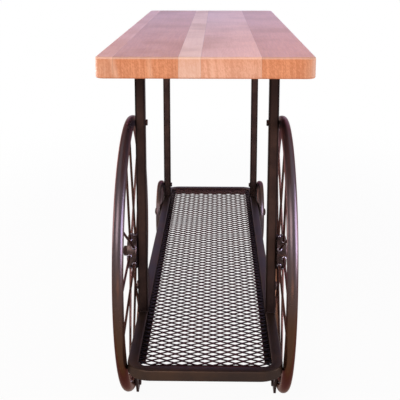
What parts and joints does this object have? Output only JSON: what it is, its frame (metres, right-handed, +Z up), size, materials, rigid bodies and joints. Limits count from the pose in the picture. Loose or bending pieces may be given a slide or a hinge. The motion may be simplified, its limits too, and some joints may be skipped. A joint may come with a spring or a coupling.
{
  "type": "wagon wheel table",
  "caption": "Long narrow table with a butcher block top, a square tube frame, a low expanded metal shelf and round tube wagon wheels, large at one end and small at the other.",
  "frame": {"origin": "on the floor, midway along the overall length and across the width", "axes": "+Z up, +Y along the table from the large wheels to the small ones, +X across it to the right as seen from the large wheels"},
  "size_m": [0.4572, 1.564, 0.88],
  "materials": {
    "light_stave": "oiled",
    "dark_stave": "oiled",
    "bronze_steel": "semi-gloss dark bronze coating",
    "mesh_steel": "semi-gloss dark bronze coating",
    "fastener": "semi-gloss",
    "plug": "matte"
  },
  "bodies": {
    "root": {"axle_nuts": "fastener", "axle_washers": "fastener", "large_axle_left": "bronze_steel", "large_axle_right": "bronze_steel", "large_hub_left": "bronze_steel", "large_hub_plate_left": "bronze_steel", "large_hub_plate_right": "bronze_steel", "large_hub_right": "bronze_steel", "large_rim_left": "bronze_steel", "large_rim_right": "bronze_steel", "large_spokes_left": "bronze_steel", "large_spokes_right": "bronze_steel", "leg_bolts": "fastener", "leg_far_left": "bronze_steel", "leg_far_right": "bronze_steel", "leg_near_left": "bronze_steel", "leg_near_right": "bronze_steel", "rim_bolts": "fastener", "rim_stay_left": "bronze_steel", "rim_stay_right": "bronze_steel", "shelf_bend_far": "bronze_steel", "shelf_bend_near": "bronze_steel", "shelf_ledge_far": "bronze_steel", "shelf_ledge_left": "bronze_steel", "shelf_ledge_near": "bronze_steel", "shelf_ledge_right": "bronze_steel", "shelf_mesh": "mesh_steel", "shelf_rail_left": "bronze_steel", "shelf_rail_right": "bronze_steel", "small_axle_left": "bronze_steel", "small_axle_right": "bronze_steel", "small_hub_left": "bronze_steel", "small_hub_plate_left": "bronze_steel", "small_hub_plate_right": "bronze_steel", "small_hub_right": "bronze_steel", "small_rim_left": "bronze_steel", "small_rim_right": "bronze_steel", "small_spokes_left": "bronze_steel", "small_spokes_right": "bronze_steel", "stay_bolts": "fastener", "top_cross_rail_far": "bronze_steel", "top_cross_rail_middle": "bronze_steel", "top_cross_rail_near": "bronze_steel", "top_rail_left": "bronze_steel", "top_rail_right": "bronze_steel", "top_screws": "fastener", "top_stave_1": "light_stave", "top_stave_2": "dark_stave", "top_stave_3": "light_stave", "top_stave_4": "dark_stave", "top_stave_5": "dark_stave", "tube_plugs": "plug", "wheel_post_left": "bronze_steel", "wheel_post_right": "bronze_steel"}
  },
  "joints": []
}
